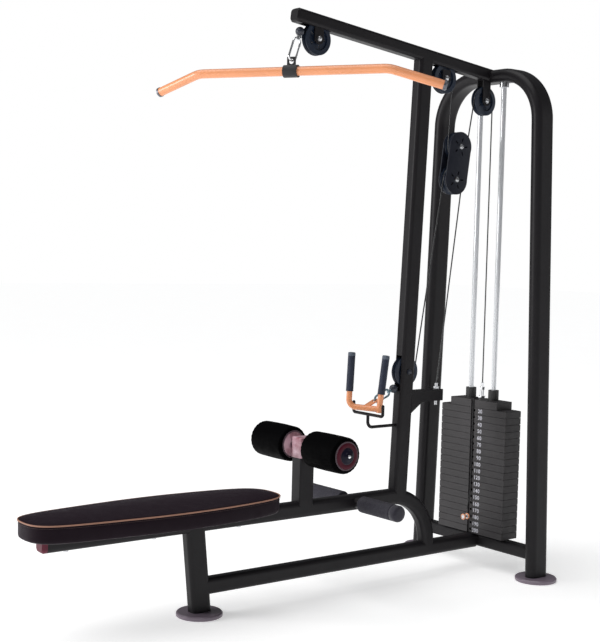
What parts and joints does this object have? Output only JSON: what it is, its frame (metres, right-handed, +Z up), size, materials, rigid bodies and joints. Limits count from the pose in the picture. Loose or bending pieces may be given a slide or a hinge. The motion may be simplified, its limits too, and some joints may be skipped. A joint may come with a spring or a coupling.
{
  "type": "lat pulldown machine",
  "caption": "Free-standing lat pulldown and low row machine with a long bench, thigh rollers, foot pegs, a swivelling bar, a row handle and a pin-selected weight stack",
  "frame": {"origin": "the middle of the front foot plate's floor face, on the centre plane", "axes": "+Z up; +Y from the bench end to the weight stack; +X to the right for someone looking along +Y"},
  "size_m": [0.9643, 2.07, 2.0859],
  "materials": {
    "frame_paint": "satin black powder coat",
    "end_cap_plastic": "satin black moulded cap",
    "foot_rubber": "dark satin plate",
    "chrome": "bright chrome plate",
    "bumper_rubber": "black rubber ring",
    "peg_rubber": "dark grey moulded rubber",
    "roller_foam": "black vinyl over foam",
    "roller_cap_plastic": "dark tinted gloss cap",
    "seat_wood": "plywood, dark stained",
    "seat_vinyl": "black vinyl upholstery",
    "plate_iron": "satin grey-black plates",
    "bushing_plastic": "black bushing",
    "lanyard_cord": "black cord",
    "pin_steel": "steel pin with orange knob",
    "pulley_plastic": "blue-black nylon pulley",
    "block_steel": "dark satin plates",
    "cable_coat": "black coated steel cable",
    "ball_rubber": "black stop ball",
    "orange_paint": "orange powder coat",
    "collar_paint": "black collar",
    "bar_cap_metal": "grey end cap",
    "hook_steel": "blue-grey snap hook",
    "grip_rubber": "black rubber grip"
  },
  "bodies": {
    "frame": {"rear_arch": "frame_paint", "cross_tube": "frame_paint", "base_beam": "frame_paint", "bench_leg": "frame_paint", "bench_beam": "frame_paint", "upright": "frame_paint", "top_beam": "frame_paint", "tube_end_caps": "end_cap_plastic", "feet": "foot_rubber", "anchor_arm": "frame_paint", "pulley_hangers": "frame_paint", "pulley_bolts": "chrome", "guide_rods": "chrome", "rod_collars": "chrome", "stack_bumpers": "bumper_rubber", "peg_bar": "frame_paint", "peg_grips": "peg_rubber", "roller_post": "frame_paint", "seat_board": "seat_wood", "seat_pad": "seat_vinyl", "seat_bolts": "chrome", "handle_rack": "frame_paint", "anchor_bolt": "chrome", "resting_plates": "plate_iron", "lat_cable_main": "cable_coat"},
    "thigh_rollers": {"roller_axle": "chrome", "thigh_rollers": "roller_foam", "roller_caps": "roller_cap_plastic"},
    "weight_stack": {"lifted_plates": "plate_iron", "head_plate": "plate_iron", "selector_stem": "chrome", "stack_bushings": "bushing_plastic", "cable_fitting": "chrome", "pin_lanyard": "lanyard_cord", "stack_cable": "cable_coat"},
    "selector_pin": {"selector_pin": "pin_steel"},
    "front_pulley": {"front_pulley": "pulley_plastic"},
    "rear_pulley": {"rear_pulley": "pulley_plastic"},
    "stack_pulley": {"stack_pulley": "pulley_plastic"},
    "row_pulley": {"row_pulley": "pulley_plastic"},
    "pulley_block": {"block_plates": "block_steel", "block_bolts": "chrome", "upper_block_cable": "cable_coat", "lower_block_cable": "cable_coat"},
    "block_upper_pulley": {"block_upper_pulley": "pulley_plastic"},
    "block_lower_pulley": {"block_lower_pulley": "pulley_plastic"},
    "lat_end": {"lat_ball": "ball_rubber", "lat_cable_front": "cable_coat"},
    "lat_bar": {"lat_bar": "orange_paint", "bar_collar": "collar_paint", "bar_end_caps": "bar_cap_metal", "lat_carabiner": "chrome"},
    "lat_gate": {"lat_gate": "chrome"},
    "row_end": {"row_ball": "ball_rubber", "row_hook": "hook_steel", "row_cable_front": "cable_coat"},
    "row_gate": {"row_gate": "hook_steel"},
    "row_handle": {"row_handle": "orange_paint", "row_grips": "grip_rubber"}
  },
  "joints": [
    {"name": "stack_lift", "type": "slide", "parent": "frame", "child": "weight_stack", "axis": [0, 0, 1], "range_m": [0, 1], "deforming": ["stack_cable"]},
    {"name": "pin_pull", "type": "slide", "parent": "weight_stack", "child": "selector_pin", "axis": [0, -1, 0], "range_m": [0, 0.07]},
    {"name": "lat_pull", "type": "slide", "parent": "frame", "child": "lat_end", "axis": [0, 0, -1], "range_m": [0, 1], "deforming": ["lat_cable_front"]},
    {"name": "bar_swivel", "type": "hinge", "parent": "lat_end", "child": "lat_bar", "pos_m": [0, 0.369, 1.9], "axis": [0, 0, 1], "range_deg": [-60, 30]},
    {"name": "lat_gate_open", "type": "hinge", "parent": "lat_bar", "child": "lat_gate", "pos_m": [0, 0.35637, 1.92376], "axis": [1, 0, 0], "range_deg": [0, 18], "stiffness_Nm_per_rad": 0.2},
    {"name": "front_pulley_spin", "type": "hinge", "parent": "frame", "child": "front_pulley", "pos_m": [0, 0.442, 1.99], "axis": [1, 0, 0], "range_deg": [0, 1150]},
    {"name": "rear_pulley_spin", "type": "hinge", "parent": "frame", "child": "rear_pulley", "pos_m": [0, 1.065, 1.916], "axis": [1, 0, 0], "range_deg": [0, 1150]},
    {"name": "stack_pulley_spin", "type": "hinge", "parent": "frame", "child": "stack_pulley", "pos_m": [0, 1.285, 1.85], "axis": [1, 0, 0], "range_deg": [0, 1150]},
    {"name": "block_upper_pulley_spin", "type": "hinge", "parent": "pulley_block", "child": "block_upper_pulley", "pos_m": [0, 1.15, 1.662], "axis": [1, 0, 0], "range_deg": [-1150, 0]},
    {"name": "block_drop", "type": "slide", "parent": "frame", "child": "pulley_block", "axis": [0, -0.1435, -0.9897], "range_m": [0, 0.28], "stiffness_N_per_m": 300, "springref_m": -0.4, "deforming": ["upper_block_cable", "lower_block_cable"]},
    {"name": "block_lower_pulley_spin", "type": "hinge", "parent": "pulley_block", "child": "block_lower_pulley", "pos_m": [0, 1.132, 1.534], "axis": [1, 0, 0], "range_deg": [0, 325]},
    {"name": "row_pulley_spin", "type": "hinge", "parent": "frame", "child": "row_pulley", "pos_m": [0, 0.9095, 0.797], "axis": [1, 0, 0], "range_deg": [-645, 0]},
    {"name": "row_pull", "type": "slide", "parent": "frame", "child": "row_end", "axis": [0, -1, 0], "range_m": [0, 0.56]},
    {"name": "row_gate_open", "type": "hinge", "parent": "row_end", "child": "row_gate", "pos_m": [0, 0.79203, 0.69079], "axis": [1, 0, 0], "range_deg": [0, 18], "stiffness_Nm_per_rad": 0.2},
    {"name": "handle_tilt", "type": "hinge", "parent": "row_end", "child": "row_handle", "pos_m": [0, 0.76528, 0.69312], "axis": [1, 0, 0], "range_deg": [-12, 0]},
    {"name": "rollers_spin", "type": "hinge", "parent": "frame", "child": "thigh_rollers", "pos_m": [0, 0.431, 0.546], "axis": [1, 0, 0], "continuous": true}
  ],
  "couplings": [
    {"joint": "lat_pull", "follows": "stack_lift", "ratio": 1},
    {"joint": "front_pulley_spin", "follows": "stack_lift", "rad_per_m": 20},
    {"joint": "rear_pulley_spin", "follows": "stack_lift", "rad_per_m": 20},
    {"joint": "stack_pulley_spin", "follows": "stack_lift", "rad_per_m": 20},
    {"joint": "block_upper_pulley_spin", "follows": "stack_lift", "rad_per_m": -20},
    {"joint": "block_lower_pulley_spin", "follows": "block_drop", "rad_per_m": 20},
    {"joint": "row_pulley_spin", "follows": "block_drop", "rad_per_m": -40},
    {"joint": "row_pull", "follows": "block_drop", "ratio": 2}
  ]
}
